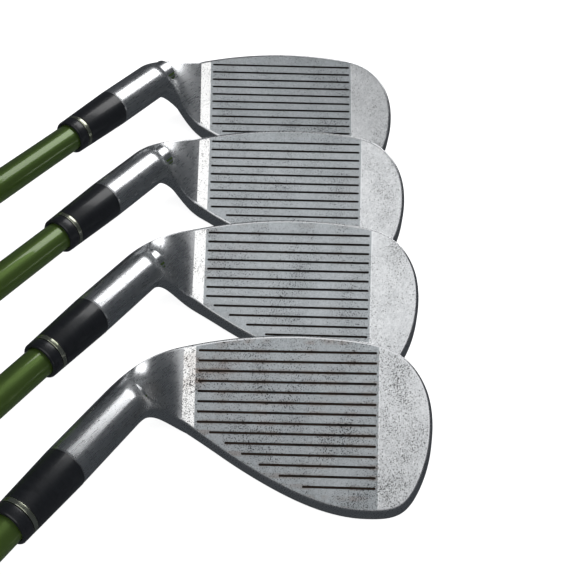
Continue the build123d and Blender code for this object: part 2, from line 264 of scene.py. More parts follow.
# %% A finish and its nodes
class Finish:
    """One material, whose nodes all come from the method node."""

    def __init__(self, name, **constants):
        self.material = bpy.data.materials.new(name)
        self.material.use_nodes = True
        self.tree = self.material.node_tree
        self.shader = self.tree.nodes["Principled BSDF"]
        for socket, number in constants.items():
            self.shader.inputs[socket.replace("_", " ")].default_value = number
        self.place = self.node("ShaderNodeTexCoord", output="Object")

    def node(self, kind, settings=None, *numbers, sockets=None, output=0):
        """Make a node: its settings first, then its sockets by order, or by number or name."""
        node = self.tree.nodes.new(kind)
        for key, setting in (settings or {}).items():
            setattr(node, key, setting)
        for key, number in {**dict(enumerate(numbers)), **(sockets or {})}.items():
            target = node.inputs[key]
            if isinstance(number, Value):
                self.tree.links.new(number.socket, target)
            else:
                target.default_value = number
        return Value(self, node.outputs[output])

    def stretched(self, scale):
        """Object coordinates squeezed or stretched along each axis."""
        return self.node("ShaderNodeMapping", sockets={"Vector": self.place, "Scale": scale})

    def noise(self, size, detail=2.0, place=None, roughness=0.5):
        """Smooth noise whose blotches are about this many millimetres across."""
        return self.node("ShaderNodeTexNoise", sockets={
            "Vector": place or self.place, "Scale": 1 / (size * MM), "Detail": detail,
            "Roughness": roughness})

    def mix(self, share, first, second):
        """From the first colour at 0 to the second at 1, through a Mix node's colour sockets."""
        colours = {0: share, 6: first, 7: second}
        return self.node("ShaderNodeMix", {"data_type": "RGBA"}, sockets=colours, output=2)

    def finish(self, colour=None, roughness=None, height=None, depth=0.02, metallic=None):
        """Join the colour, the roughness and a bump of this depth in millimetres."""
        links = {"Base Color": colour, "Roughness": roughness, "Metallic": metallic}
        if height is not None:
            links["Normal"] = self.node("ShaderNodeBump", sockets={
                "Height": height, "Distance": depth * MM, "Strength": 1.0})
        for socket, number in links.items():
            if number is not None:
                self.tree.links.new(number.socket, self.shader.inputs[socket])
        return self.material


def rgb(red, green, blue):
    return (red, green, blue, 1.0)


EVEN = 0.5                      # the value that noise swings about
print("a finish can now be mixed from noise")

# %% [markdown]
# ## Steel
# A used iron shows several steels at once. The hitting face is blasted dull where the score
# lines are and ground a little brighter outside them, and the neck, sole and edges are
# polished. Years of use leave pits, scuffs and, near the lines, brown rust. One plan map in
# millimetres, x towards the toe and y up the face, tells the shader where it is on the head.


# %% Pits
PIT_COLOUR = rgb(0.035, 0.033, 0.032)
PIT_CROWDING = 0.35
PIT_EDGE = 0.05


def pits(finish, size, share, spread):
    """Dark specks of a size, thicker in some places than in others."""
    crowd = finish.noise(spread, 2.0)
    speck = finish.noise(size, 2.5, roughness=0.6)
    return (speck + crowd * PIT_CROWDING).above(1.0 - share, PIT_EDGE)


print("pits are", PIT_COLOUR)

# %% [markdown]
# The hitting face has three zones from heel to toe: a narrow bright band, the satin steel
# with the score lines, and the ground steel of the toe. A thin bright line parts the last
# two. Rust starts along the lines and spreads most over the heel, and the wedge has far more
# of it than the others.

# %% The hitting face
PLAN_SIZE = 100.0               # millimetres of head to one unit of the plan map
SATIN_DARK, SATIN_LIGHT = rgb(0.27, 0.295, 0.31), rgb(0.62, 0.65, 0.67)
GROUND_DARK, GROUND_LIGHT = rgb(0.44, 0.455, 0.465), rgb(0.95, 0.96, 0.97)
BAND_COLOUR = rgb(0.93, 0.93, 0.92)
EDGE_LINE_COLOUR = rgb(0.85, 0.87, 0.88)
RUST_COLOUR = rgb(0.22, 0.105, 0.042)
BAND_EDGE_X = -0.75
TOE_EDGE_X = LINE_LENGTH + 0.7
EDGE_LINE_X = LINE_LENGTH + 0.75
ZONE_SOFTNESS = 0.3
EDGE_LINE_REACH = 0.22
TONE_CONTRAST = 0.9
STAIN_REACH = 0.75              # how far rust creeps out of a line, in millimetres
HEEL_STAIN_X, HEEL_STAIN_Y = 12.0, 18.0
LINE_RUST, HEEL_RUST = 0.30, 0.22


def face_zones(x):
    """Masks of the toe, of the heel's bright band and of the line between satin and ground."""
    toe = x.above(TOE_EDGE_X, ZONE_SOFTNESS)
    band = x.below(BAND_EDGE_X, ZONE_SOFTNESS)
    edge_line = abs(x - EDGE_LINE_X).below(EDGE_LINE_REACH, 0.2)
    return toe, band, edge_line


def rust_mask(finish, x, y, toe, band):
    """Rust beside the lines and over the heel, in patches."""
    from_line = ((y - FIRST_LINE_HEIGHT) / LINE_PITCH + 0.5).fraction() - 0.5
    beside = (abs(from_line) * LINE_PITCH).below(STAIN_REACH, 0.5) * (1 - toe) * (1 - band)
    stain = finish.noise(6.0, 3.0).above(0.52, 0.25)
    heel = x.below(HEEL_STAIN_X, 14.0) * y.below(HEEL_STAIN_Y, 12.0)
    return beside * stain * LINE_RUST + heel * stain * HEEL_RUST


def face_steel(name, rust):
    """The flat hitting face, dull between the ends of the lines and brighter outside."""
    finish = Finish(name, Metallic=1.0, IOR=2.4)
    plan = finish.node("ShaderNodeUVMap", {"uv_map": "plan"})
    x = finish.node("ShaderNodeSeparateXYZ", None, plan, output=0) * PLAN_SIZE
    y = finish.node("ShaderNodeSeparateXYZ", None, plan, output=1) * PLAN_SIZE
    toe, band, edge_line = face_zones(x)
    grain = finish.noise(0.30, 3.0, roughness=0.7)
    mottle = finish.noise(1.1, 3.0, roughness=0.65)
    patch = finish.noise(9.0, 2.0)
    brushed = finish.noise(1.0, 2.0, finish.stretched((0.25, 1.0, 1.0)))
    tone = (grain - EVEN) * 1.35 + (mottle - EVEN) * 0.75 + (patch - EVEN) * 0.45
    scored = finish.mix(EVEN + tone * TONE_CONTRAST, SATIN_DARK, SATIN_LIGHT)
    ground = finish.mix(EVEN + tone * TONE_CONTRAST + (brushed - EVEN) * 0.5, GROUND_DARK, GROUND_LIGHT)
    colour = finish.mix(toe, scored, ground)
    colour = finish.mix(band, colour, BAND_COLOUR)
    colour = finish.mix(edge_line * 0.7, colour, EDGE_LINE_COLOUR)
    colour = finish.mix(rust_mask(finish, x, y, toe, band) * rust, colour, RUST_COLOUR)
    speck = pits(finish, 0.36, 0.19 + 0.035 * rust, 12.0) * 0.8
    colour = finish.mix(speck, colour, PIT_COLOUR)
    roughness = 0.40 + (grain - EVEN) * 0.25 - band * 0.20 - toe * 0.06 + speck * 0.3
    return finish.finish(colour, roughness, grain * 0.6 + mottle * 0.5 - speck, 0.018)


face_finishes = {name: face_steel(name + "_face_steel", club["rust"]) for name, club in CLUBS.items()}
print("faces:", ", ".join(face_finishes))

# %% [markdown]
# The rest of the head is steel too. The neck, hosel, sole and edges are polished, with fine
# scuffs drawn out along the club. The lines are full of old dirt, so they get a rough finish
# that isn't metal. The back is tumbled to an even satin.

# %% The rest of the head
def polished_steel():
    finish = Finish("polished_steel", Metallic=1.0, IOR=2.4)
    scuffs = finish.noise(0.5, 3.0, finish.stretched((0.12, 1.0, 1.0)), 0.6)
    cloud = finish.noise(5.0, 2.0)
    speck = pits(finish, 0.42, 0.16, 9.0)
    colour = finish.mix(scuffs * 0.6 + cloud * 0.4, rgb(0.55, 0.56, 0.575), rgb(0.86, 0.87, 0.88))
    colour = finish.mix(speck * 0.7, colour, PIT_COLOUR)
    roughness = 0.15 + scuffs * 0.20 + cloud * 0.08 + speck * 0.3
    return finish.finish(colour, roughness, scuffs * 0.4 - speck, 0.008)


def line_dirt(name, rust):
    finish = Finish(name, Metallic=0.0, IOR=1.45)
    dirt = finish.noise(0.8, 3.0)
    patch = finish.noise(7.0, 2.0).above(0.62 - 0.2 * rust, 0.2)
    colour = finish.mix(dirt, rgb(0.006, 0.005, 0.005), rgb(0.03, 0.024, 0.02))
    colour = finish.mix(patch * (0.03 + 0.06 * rust), colour, RUST_COLOUR)
    return finish.finish(colour, 0.75 + dirt * 0.2, dirt, 0.05)


def cavity_steel():
    finish = Finish("cavity_steel", Metallic=1.0, IOR=2.4)
    grain = finish.noise(0.35, 3.0, roughness=0.7)
    cloud = finish.noise(8.0, 2.0)
    colour = finish.mix(grain * 0.6 + cloud * 0.4, rgb(0.30, 0.31, 0.32), rgb(0.60, 0.62, 0.63))
    return finish.finish(colour, 0.36 + grain * 0.2, grain, 0.015)


polished = polished_steel()
cavity_finish = cavity_steel()
line_finishes = {name: line_dirt(name + "_line_dirt", club["rust"]) for name, club in CLUBS.items()}
print("and", polished.name, cavity_finish.name, *(dirt.name for dirt in line_finishes.values()))

# %% [markdown]
# ## Plastic, paint and rubber
# The ferrule is black plastic turned smooth on a lathe and gone slightly dull. Its trim ring is bright
# aluminium, with olive blotches that are a painted reflection of the green shaft. The shaft has olive
# paint with metal flake under a clear coat, and the grip is soft black rubber, greyed where hands have
# rubbed it.


# %% Finishes of the ferrule, ring, shaft and grip
def ferrule_plastic():
    finish = Finish("ferrule_plastic", IOR=1.5, Coat_Weight=0.35, Coat_Roughness=0.12)
    scuffs = finish.noise(0.7, 3.0, finish.stretched((1.0, 0.2, 0.2)), 0.6)
    dust = finish.noise(0.5, 2.0).above(0.72, 0.08)
    colour = finish.mix(scuffs, rgb(0.006, 0.007, 0.009), rgb(0.018, 0.020, 0.025))
    colour = finish.mix(dust * 0.25, colour, rgb(0.09, 0.095, 0.10))
    return finish.finish(colour, 0.26 + scuffs * 0.22, scuffs, 0.006)


def ring_metal():
    finish = Finish("ring_metal", Metallic=1.0, IOR=1.5)
    scuffs = finish.noise(0.4, 3.0, finish.stretched((1.0, 0.3, 0.3)))
    # The olive blotches in the ring's colour are a painted reflection of the green shaft in the bright
    # metal.
    painted_shaft_reflection = finish.noise(4.0, 2.0)
    colour = finish.mix(painted_shaft_reflection, rgb(0.32, 0.36, 0.20), rgb(0.80, 0.80, 0.72))
    return finish.finish(colour, 0.14 + scuffs * 0.2, scuffs, 0.006)


def shaft_paint():
    finish = Finish("shaft_paint", IOR=1.5, Coat_Weight=1.0, Coat_Roughness=0.04)
    flake = finish.noise(0.12, 1.0, roughness=0.6)
    cloud = finish.noise(14.0, 2.0, finish.stretched((0.3, 1.0, 1.0)))
    scuff = finish.noise(1.6, 3.0, finish.stretched((0.15, 1.0, 1.0))).above(0.70, 0.08)
    colour = finish.mix(flake * 0.6 + cloud * 0.4, rgb(0.060, 0.115, 0.018), rgb(0.150, 0.245, 0.045))
    colour = finish.mix(scuff * 0.18, colour, rgb(0.35, 0.42, 0.20))
    return finish.finish(colour, 0.30 + flake * 0.15 + scuff * 0.1, flake, 0.003, flake * 0.2 + 0.45)


def grip_rubber():
    finish = Finish("grip_rubber", IOR=1.5)
    grain = finish.noise(0.25, 3.0, roughness=0.7)
    wear = finish.noise(22.0, 3.0)
    colour = finish.mix(grain * 0.4 + wear * 0.6, rgb(0.010, 0.010, 0.010), rgb(0.055, 0.054, 0.052))
    return finish.finish(colour, 0.62 + grain * 0.25, grain, 0.04)


def paper_tape():
    finish = Finish("paper_tape", IOR=1.45)
    crease = finish.noise(3.0, 3.0, finish.stretched((0.2, 1.0, 1.0)))
    fibre = finish.noise(0.5, 3.0)
    colour = finish.mix(crease * 0.6 + fibre * 0.4, rgb(0.45, 0.38, 0.25), rgb(0.75, 0.68, 0.52))
    return finish.finish(colour, 0.8 + fibre * 0.15, crease, 0.05)


def badge_metal():
    finish = Finish("badge_metal", Metallic=1.0, IOR=1.5)
    brushed = finish.noise(0.4, 3.0, finish.stretched((1.0, 0.08, 1.0)))
    cloud = finish.noise(9.0, 2.0)
    colour = finish.mix(brushed * 0.6 + cloud * 0.4, rgb(0.13, 0.14, 0.14), rgb(0.34, 0.36, 0.35))
    return finish.finish(colour, 0.32 + brushed * 0.2, brushed, 0.01)


finishes = {"ferrule": ferrule_plastic(), "ferrule_ring": ring_metal(), "shaft": shaft_paint(),
            "grip": grip_rubber(), "grip_tape": paper_tape(), "badge": badge_metal()}
finishes["ferrule_collar"] = finishes["ferrule"]
finishes["grip_cap"] = finishes["grip"]
print("finishes:", ", ".join(sorted(finishes)))

# %% [markdown]
# ## From a mesh to a piece of the club
# Every piece is modelled in its own millimetre frame. This helper carries it to its place in the row,
# marks the creases that have to stay crisp, names it after the CAD node that it stands for and hides
# that node.

# %% Put a piece in its place
CREASE_ANGLE = radians(32)
pieces = []


def place_piece(mesh_work, club_name, part, matrix, materials):
    """Turn a bmesh into the piece that stands for one CAD part of a club."""
    node = club_name + "_" + part
    bmesh.ops.transform(mesh_work, matrix=matrix, verts=mesh_work.verts)
    for face in mesh_work.faces:
        face.smooth = True
    for edge in mesh_work.edges:
        if len(edge.link_faces) == 2 and edge.calc_face_angle(0.0) > CREASE_ANGLE:
            edge.smooth = False
    mesh = bpy.data.meshes.new(node + "_mesh")
    mesh_work.to_mesh(mesh)
    mesh_work.free()
    for material in materials:
        mesh.materials.append(material)
    piece = bpy.data.objects.new(node + "_piece", mesh)
    bpy.context.scene.collection.objects.link(piece)
    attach(piece, club_name)
    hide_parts(node)
    pieces.append(piece)


# %% [markdown]
# ## Round pieces
# Ferrule, ring, collar, shaft, tape, grip and cap are all turned shapes. A closed half
# section is drawn once and spun round the shaft axis, and a small bevel on the circles where
# two surfaces meet gives the soft edge that catches the light.

# %% Spin a half section
ROUND_STEPS = 72
SHARP_TURN = radians(25)
HAIR = 1e-4                     # two points nearer than this are one


def round_edges(work, edges, offset, segments):
    bmesh.ops.bevel(work, geom=edges, offset=offset, offset_type="OFFSET", affect="EDGES",
                    segments=segments, profile=0.5, material=-1, clamp_overlap=True)


def is_sharp_circle(edge):
    level = abs(edge.verts[0].co.z - edge.verts[1].co.z) < HAIR
    return level and edge.calc_face_angle(0.0) > SHARP_TURN


def turned(section, rounding, segments):
    """Spin corners given as (radius, height) into a ring, with its sharp circles rounded."""
    work = bmesh.new()
    corners = [work.verts.new((radius, 0, height)) for radius, height in section]
    sides = [work.edges.new(pair) for pair in zip(corners, corners[1:] + corners[:1])]
    bmesh.ops.spin(work, geom=corners + sides, cent=(0, 0, 0), axis=(0, 0, 1), dvec=(0, 0, 0),
                   angle=2 * pi, steps=ROUND_STEPS, use_merge=True, use_duplicate=False)
    bmesh.ops.remove_doubles(work, verts=work.verts, dist=HAIR)
    bmesh.ops.recalc_face_normals(work, faces=work.faces)
    round_edges(work, list(filter(is_sharp_circle, work.edges)), rounding, segments)
    return work


print("a half section is spun in", ROUND_STEPS, "steps")

# %% [markdown]
# The half sections come from the same sizes as the CAD part. The shaft's length is read from
# the frame, as the way from the trim ring to the cap, because it differs from club to club.

# %% Sections along the shaft
TIP_PARALLEL = 76.0
BUTT_RADIUS = 7.6
TIP_WALL = 1.5
BUTT_WALL = 1.1
GRIP_LENGTH = 266.0
GRIP_BUTT_RADIUS = 13.5
GRIP_MOUTH_WALL = 1.6
TAPE_THICKNESS = 0.3
TAPE_SHORTER = 8.0
CAP_THICKNESS = 3.5
CAP_LIP = 0.6
VENT_RADIUS = 1.5


def butt_height(name, club):
    """Height of the shaft's end, where the cap begins, along the shaft from the ground."""
    way = (middle(name + "_grip_cap") - middle(name + "_ferrule_ring")).length / MM
    return round(ring_height(club) + way - CAP_THICKNESS / 2, 1)


def shaft_radius(club, butt, height):
    """The shaft is even near its tip and then widens steadily to the butt."""
    start = club["hosel_length"] - BORE_DEPTH + TIP_PARALLEL
    share = max(0.0, (height - start) / (butt - start))
    return TIP_RADIUS + share * (BUTT_RADIUS - TIP_RADIUS)


def shaft_section(club, butt):
    tip = club["hosel_length"] - BORE_DEPTH
    taper_start = tip + TIP_PARALLEL
    inside = TIP_RADIUS - TIP_WALL
    return [(inside, tip), (TIP_RADIUS, tip), (TIP_RADIUS, taper_start), (BUTT_RADIUS, butt),
            (BUTT_RADIUS - BUTT_WALL, butt), (inside, taper_start)]


print("butt heights", {name: butt_height(name, club) for name, club in CLUBS.items()})

# %% [markdown]
# ## Ferrule, trim ring and collar
# The ferrule is a plastic sleeve that hides the step from the wide hosel to the thin shaft.
# All three pieces follow one taper. The bright trim ring dips slightly in the middle, so it catches a
# narrow glint, and the collar's edges are rounded more than the ferrule's and the ring's, because
# cloths and bag dividers rub against it.

# %% Make the ferrule pieces
RING_DIP = 0.03
FERRULE_EDGE = 0.22
COLLAR_EDGE = 0.7
FERRULE_SEGMENTS = 4


def ferrule_radius(share):
    """Radius of the taper at a share of the way from the hosel to the collar's top."""
    return HOSEL_RADIUS + share * (FERRULE_TOP_RADIUS - HOSEL_RADIUS)


def make_ferrule(name, club, stem):
    total = sum(FERRULE_LENGTHS.values())
    height = 0.0
    for part, length in FERRULE_LENGTHS.items():
        low, high = ferrule_radius(height / total), ferrule_radius((height + length) / total)
        bottom = club["hosel_length"] + height
        top = bottom + length
        section = [(TIP_RADIUS, bottom), (low, bottom), (high, top), (TIP_RADIUS, top)]
        if part == "ferrule_ring":
            section.insert(2, (low - RING_DIP, (bottom + top) / 2))
        rounding = COLLAR_EDGE if part == "ferrule_collar" else FERRULE_EDGE
        work = turned(section, min(rounding, length / 4), FERRULE_SEGMENTS)
        place_piece(work, name, part, stem, [finishes[part]])
        height += length


for name, club in CLUBS.items():
    make_ferrule(name, club, frames[name][1])
print("ferrules:", len(pieces), "pieces")

# %% [markdown]
# ## Shaft, tape, grip and cap
# The shaft is a hollow graphite tube that widens steadily from the head to the butt. The grip
# is a rubber sleeve over paper tape. Its outside is moulded with shallow grooves so that wet
# hands don't slip, and a thicker cap closes the end round a small vent hole.

# %% Half sections of the tape, the grip and the cap
GROOVE_DEPTH = 0.35
GROOVE_PITCH = 9.0
GROOVE_WIDTH = 1.6
BEAD_LENGTH = 7.0
BEAD_HEIGHT = 0.5
GROOVE_PROFILE = ((-GROOVE_WIDTH, 0), (-GROOVE_WIDTH / 2, GROOVE_DEPTH),
                  (GROOVE_WIDTH / 2, GROOVE_DEPTH), (GROOVE_WIDTH, 0))


def grip_mouth(butt):
    """Height of the grip's open end, along the shaft from the ground."""
    return butt - GRIP_LENGTH + CAP_THICKNESS


def tape_section(club, butt):
    bare = [(shaft_radius(club, butt, at), at) for at in (grip_mouth(butt) + TAPE_SHORTER, butt)]
    return bare + [(radius + TAPE_THICKNESS, at) for radius, at in reversed(bare)]


def grip_section(club, butt):
    """Mouth bead, then a taper with moulded grooves, and the bore over the tape."""
    mouth = grip_mouth(butt)
    bead_end = mouth + BEAD_LENGTH
    tape_start = mouth + TAPE_SHORTER
    inner_mouth = shaft_radius(club, butt, mouth)
    slim = inner_mouth + GRIP_MOUTH_WALL

    def skin(height):
        return slim + (GRIP_BUTT_RADIUS - slim) * (height - mouth) / (butt - mouth)

    bead_top = (slim + BEAD_HEIGHT, mouth + BEAD_LENGTH / 2)
    outside = [(slim, mouth), bead_top, (skin(bead_end), bead_end)]
    height = bead_end + GROOVE_PITCH
    while height < butt - GROOVE_PITCH:
        for shift, depth in GROOVE_PROFILE:
            outside.append((skin(height + shift) - depth, height + shift))
        height += GROOVE_PITCH
    taped = [(shaft_radius(club, butt, at) + TAPE_THICKNESS, at) for at in (butt, tape_start)]
    inside = [(shaft_radius(club, butt, tape_start), tape_start), (inner_mouth, mouth)]
    return outside + [(GRIP_BUTT_RADIUS, butt)] + taped + inside


def cap_section(butt):
    rim = GRIP_BUTT_RADIUS + CAP_LIP
    top = butt + CAP_THICKNESS
    return [(VENT_RADIUS, butt), (rim, butt), (rim, top), (VENT_RADIUS, top)]


print("a grip is", GRIP_LENGTH, "mm long, grooved every", GROOVE_PITCH, "mm")

# %% Make the shaft and the grip
SHAFT_EDGE = 0.15
TAPE_EDGE = 0.05
GRIP_EDGE = 0.2
CAP_EDGE = 1.3
STEM_SEGMENTS = 3


def make_stem(name, club, stem):
    butt = butt_height(name, club)
    sections = {"shaft": (shaft_section(club, butt), SHAFT_EDGE),
                "grip_tape": (tape_section(club, butt), TAPE_EDGE),
                "grip": (grip_section(club, butt), GRIP_EDGE),
                "grip_cap": (cap_section(butt), CAP_EDGE)}
    for part, (section, rounding) in sections.items():
        place_piece(turned(section, rounding, STEM_SEGMENTS), name, part, stem, [finishes[part]])


for name, club in CLUBS.items():
    make_stem(name, club, frames[name][1])
print("round pieces:", len(pieces))

# %% [markdown]
# ## The outline of a head
# Seen square to the face, a blade has four sides: the topline that rises to the peak, the
# rounded toe, the sole with its gentle rocker, and the straight heel line where the neck
# begins. Smooth curves through a few points give the first two. The hollow in the back
# follows the same sides, further in.


# %% Smooth curves and outlines
def between(start, end, leave, arrive, t):
    """A point of the cubic that leaves one place and arrives at another with set slopes."""
    return (start * (2 * t**3 - 3 * t**2 + 1) + leave * (t**3 - 2 * t**2 + t)
            + end * (3 * t**2 - 2 * t**3) + arrive * (t**3 - t**2))


def smooth_curve(points, leave, arrive, count):
    """A cubic curve through the points, with set directions at its ends."""
    spots = np.array(points, float)
    gaps = np.linalg.norm(np.diff(spots, axis=0), axis=1)
    size = len(spots)
    system, goal = np.eye(size), np.zeros((size, 2))
    goal[0] = Vector(leave).normalized()
    goal[-1] = Vector(arrive).normalized()
    for at in range(1, size - 1):
        before, after = gaps[at - 1], gaps[at]
        system[at, at - 1:at + 2] = (after, 2 * (before + after), before)
        goal[at] = 3 * (after * (spots[at] - spots[at - 1]) / before
                        + before * (spots[at + 1] - spots[at]) / after)
    slopes = np.linalg.solve(system, goal)
    knots = np.concatenate([[0], np.cumsum(gaps)])
    curve = []
    for way in np.linspace(0, knots[-1], count, endpoint=False):
        at = min(np.searchsorted(knots, way, side="right") - 1, size - 2)
        t = (way - knots[at]) / gaps[at]
        leaving, arriving = gaps[at] * slopes[at:at + 2]
        curve.append(tuple(between(spots[at], spots[at + 1], leaving, arriving, t)))
    return curve


def straight(start, end, count):
    """Evenly spaced points of a straight line, without its end."""
    return [tuple(Vector(start).lerp(Vector(end), step / count)) for step in range(count)]


TOPLINE_STEPS, TOE_STEPS, SOLE_STEPS, HEEL_STEPS = 40, 64, 40, 16


def sole_height(x):
    return (x - SOLE_LOW_X) ** 2 / (2 * SOLE_RADIUS)


def topline_curve(club, inset, count):
    """The topline from heel to peak, or the same curve this far inside it."""
    heel = (-HEEL_BAND + inset, club["heel_height"] - inset / 2)
    peak = (PEAK_X, club["toe_height"] - inset)
    halfway = [heel[axis] + TOPLINE_MIDDLE[axis] * (peak[axis] - heel[axis]) for axis in (0, 1)]
    return smooth_curve([heel, halfway, peak], (1, TOPLINE_RISE), (1, 0), count)


def toe_points(club, inset):
    nose, high = BLADE_LENGTH - inset - PEAK_X, club["toe_height"] - inset
    return [(PEAK_X + across * nose, up * high) for across, up in UPPER_TOE]


def face_outline(club):
    """Points round the face, from the top of the heel over the toe and back."""
    foot = (PEAK_X - TOE_FOOT, sole_height(PEAK_X - TOE_FOOT))
    nose, high = BLADE_LENGTH - PEAK_X, club["toe_height"]
    lower = [(PEAK_X + across * nose, up * high) for across, up in LOWER_TOE]
    slope = (foot[0] - SOLE_LOW_X) / SOLE_RADIUS
    toe = smooth_curve(toe_points(club, 0.0) + lower + [foot], (1, 0), (-1, -slope), TOE_STEPS)
    along = np.linspace(foot[0], -HEEL_BAND, SOLE_STEPS, endpoint=False)
    sole = [(x, sole_height(x)) for x in along]
    heel_foot = (-HEEL_BAND, sole_height(-HEEL_BAND))
    heel = straight(heel_foot, (-HEEL_BAND, club["heel_height"]), HEEL_STEPS)
    return topline_curve(club, 0.0, TOPLINE_STEPS) + toe + sole + heel


def sole_direction(club):
    """The way back along the sole, seen from the side."""
    angle = radians(club["loft"] - BOUNCE)
    return Vector((0, sin(angle), cos(angle)))


def cavity_outline(club, inset):
    """The same four sides round the hollow in the back, shifted up as the head leans."""
    lift = TOPLINE_WIDTH * sole_direction(club).y
    floor = CAVITY_FLOOR - lift + inset - RIM_WIDTH
    corner = (BLADE_LENGTH - inset - CAVITY_CORNER, floor)
    upper = toe_points(club, inset)[:-1]
    side = smooth_curve(upper + [corner], (1, 0), (-CAVITY_SIDE_LEAN, -1), TOE_STEPS)
    heel_corner = (-HEEL_BAND + inset, floor)
    bottom = straight(corner, heel_corner, SOLE_STEPS)
    heel_top = (-HEEL_BAND + inset, club["heel_height"] - inset / 2)
    heel = straight(heel_corner, heel_top, HEEL_STEPS)
    sides = topline_curve(club, inset, TOPLINE_STEPS) + side + bottom + heel
    return [(x, y + lift) for x, y in sides]


print("outline of", len(face_outline(CLUBS["wedge"])), "points")

# %% [markdown]
# ## The back of the blade
# From the side an iron is thin at the topline and thick along the sole, where the weight is.
# The depth at each height follows four straight runs, softened as a grinding belt would. The
# wall between face and back follows the sole low down and stands more upright higher up.

# %% Depth of the blade at a height
SOFTENING = 2.6
SOFTENING_SHARES = (-1, -0.67, -0.33, 0, 0.33, 0.67, 1)
HALVINGS = 30                   # enough to find a crossing to a tiny part of a millimetre


def back_depth(club, height):
    """Depth of the back behind the face, averaged over a few heights near this one."""
    sole = sole_direction(club)
    edge_y, edge_z = sole.y * SOLE_WIDTH, sole.z * SOLE_WIDTH
    thin = TOPLINE_WIDTH * sole.z
    shoulder_y, shoulder_z = edge_y + MUSCLE_HEIGHT, edge_z - MUSCLE_SLOPE
    waist_y = shoulder_y + shoulder_z - thin
    beyond = club["toe_height"] + 2 * SOLE_WIDTH
    heights = [edge_y - SOLE_WIDTH, edge_y, shoulder_y, waist_y, beyond]
    depths = [edge_z + SOLE_WIDTH / 4, edge_z, shoulder_z, thin + WAIST_EXTRA, thin]
    near = [height + SOFTENING * share for share in SOFTENING_SHARES]
    return float(np.mean(np.interp(near, heights, depths)))


def wall_direction(club, y):
    """The way the wall runs back from a height on the face's edge."""
    sole = sole_direction(club)
    low = MUSCLE_HEIGHT / 2
    share = np.clip((y - low) / (club["heel_height"] - low), 0, 1)
    return Vector((0, sole.y * (1 - WALL_UPRIGHT * share), sole.z))


def back_edge(club, x, y):
    """Follow the wall back from a point of the face outline until it meets the back."""
    wall = wall_direction(club, y)
    near, far = 0.0, 2 * SOLE_WIDTH
    for _ in range(HALVINGS):
        reach = (near + far) / 2
        if reach * wall.z < back_depth(club, y + reach * wall.y):
            near = reach
        else:
            far = reach
    return Vector((x, y, 0)) + wall * near


print("depth at 30 mm up the wedge", back_depth(CLUBS["wedge"], 30.0))

# %% [markdown]
# ## Blade
# The blade starts as the flat face. Its edge is extruded back along the wall, then inwards
# over the back in many narrow rings that follow the depth, and down into the hollow. Bevels
# then round the edges, each by as much as the real grinding does. The heel is left open for
# the neck.

# %% Rings of vertices
FACE_EDGE_ROUNDING, FACE_EDGE_SEGMENTS = 1.3, 6
BACK_EDGE_ROUNDING, BACK_EDGE_SEGMENTS = 0.9, 3
CAVITY_ROUNDING, CAVITY_SEGMENTS = 0.35, 2
BACK_RINGS = 14
NEARLY = 1e-3                   # a place this near a plane counts as in it


def edges_of(work, ring):
    return [work.edges.get(pair) for pair in zip(ring, ring[1:] + ring[:1])]


def step_ring(work, ring, places):
    """Extrude a closed ring of vertices and move the new ones to their places."""
    made = bmesh.ops.extrude_edge_only(work, edges=edges_of(work, ring))["geom"]
    fresh = {item for item in made if isinstance(item, bmesh.types.BMVert)}
    following = []
    for vert, place in zip(ring, places):
        after = next(edge.other_vert(vert) for edge in vert.link_edges
                     if edge.other_vert(vert) in fresh)
        after.co = place
        following.append(after)
    return following


def on_heel_plane(item):
    """Whether an edge or a face lies in the flat where the neck will start."""
    return all(abs(vert.co.x + HEEL_BAND) < NEARLY for vert in item.verts)


print("the face's edge is rounded by", FACE_EDGE_ROUNDING, "mm")


# %% Make the blade
def blade(club):
    work = bmesh.new()
    outline = face_outline(club)
    hollow = cavity_outline(club, RIM_WIDTH)
    front = [work.verts.new((x, y, 0)) for x, y in outline]
    work.faces.new(front)
    back_places = [back_edge(club, x, y) for x, y in outline]
    back = step_ring(work, front, back_places)
    ring = back
    for step in range(1, BACK_RINGS + 1):
        share = step / BACK_RINGS
        places = []
        for start, (x, y) in zip(back_places, hollow):
            across, up = Vector((start.x, start.y)).lerp(Vector((x, y)), share)
            places.append((across, up, back_depth(club, up)))
        ring = step_ring(work, ring, places)
    floor = step_ring(work, ring, [(x, y, FACE_THICKNESS) for x, y in hollow])
    work.faces.new(floor)
    bmesh.ops.recalc_face_normals(work, faces=work.faces)
    hollow_edges = edges_of(work, ring)
    floor_edges = edges_of(work, floor)
    back_edges = [edge for edge in edges_of(work, back) if not on_heel_plane(edge)]
    front_edges = [edge for edge in edges_of(work, front) if not on_heel_plane(edge)]
    round_edges(work, floor_edges, CAVITY_ROUNDING, CAVITY_SEGMENTS)
    round_edges(work, hollow_edges, CAVITY_ROUNDING, CAVITY_SEGMENTS)
    round_edges(work, back_edges, BACK_EDGE_ROUNDING, BACK_EDGE_SEGMENTS)
    round_edges(work, front_edges, FACE_EDGE_ROUNDING, FACE_EDGE_SEGMENTS)
    bmesh.ops.delete(work, geom=list(filter(on_heel_plane, work.faces)), context="FACES")
    return work


print("the back is laid in", BACK_RINGS, "rings")

# %% [markdown]
# ## Neck and hosel
# The neck turns the flat heel of the blade into the round hosel. On the real head it is
# ground hollow beside the face, which leaves a crisp curved edge there. The open heel loop is
# extruded ring by ring along a curve that leaves the blade sideways and arrives along the
# shaft. The last rings make the hosel, its chamfered rim and the bore for the shaft.

# %% The loop that the neck starts from
NECK_RINGS = 26
NECK_SPACING = 1.3
CORNER_ANGLES = (135, 45, -45, -135, -225)  # foot, top, top behind, foot behind, foot again


def hosel_point(club, along, angle, radius):
    """A point round the shaft axis; angle 0 faces the toe and 90 the way of the shot."""
    up, back, shaft = address_directions(club)
    lie = radians(club["lie"])
    toeward = Vector((sin(lie), 0, 0)) + up * cos(lie)
    turn = radians(angle)
    centre = ground_point(club) + shaft * along
    return centre + (toeward * cos(turn) - back * sin(turn)) * radius


